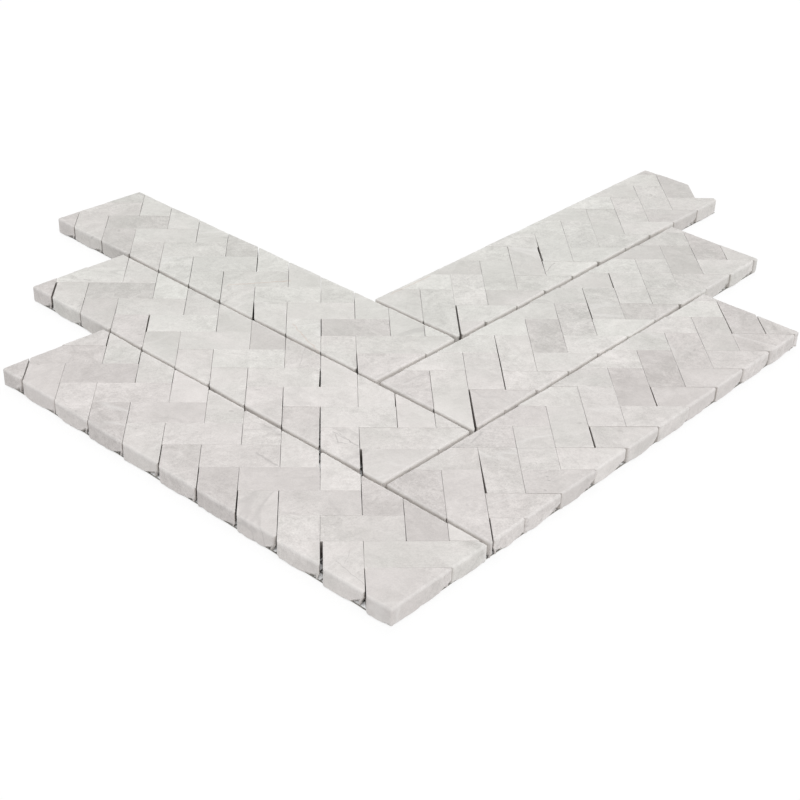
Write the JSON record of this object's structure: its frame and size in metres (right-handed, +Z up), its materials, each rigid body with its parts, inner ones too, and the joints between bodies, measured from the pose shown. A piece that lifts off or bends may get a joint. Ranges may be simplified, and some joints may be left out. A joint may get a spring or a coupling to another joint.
{
  "type": "chevron wall tile",
  "caption": "V-shaped mosaic wall tile of pale grey-white marble herringbone planks, held on an open net.",
  "frame": {"origin": "centre of the sheet's outline, at the underside of the net", "axes": "+Z up, away from the wall; +Y from the tip of the V to its open end; +X to the right"},
  "size_m": [0.454, 0.4896, 0.0105],
  "materials": {
    "marble": "honed pale marble",
    "net": "resin-coated glass fibre"
  },
  "bodies": {
    "root": {"back_left_plank_right_chips": "marble", "back_left_plank_middle_chips": "marble", "back_left_plank_left_chips": "marble", "middle_left_plank_right_chips": "marble", "middle_left_plank_middle_chips": "marble", "middle_left_plank_left_chips": "marble", "front_left_plank_right_chips": "marble", "front_left_plank_middle_chips": "marble", "front_left_plank_left_chips": "marble", "back_right_plank_right_chips": "marble", "back_right_plank_middle_chips": "marble", "back_right_plank_left_chips": "marble", "middle_right_plank_right_chips": "marble", "middle_right_plank_middle_chips": "marble", "middle_right_plank_left_chips": "marble", "front_right_plank_right_chips": "marble", "front_right_plank_middle_chips": "marble", "front_right_plank_left_chips": "marble", "net_lower_strands_1": "net", "net_lower_strands_2": "net", "net_lower_strands_3": "net", "net_lower_strands_4": "net", "net_lower_strands_5": "net", "net_lower_strands_6": "net", "net_upper_strands_1": "net", "net_upper_strands_2": "net", "net_upper_strands_3": "net", "net_upper_strands_4": "net", "net_upper_strands_5": "net", "net_upper_strands_6": "net"}
  },
  "joints": []
}
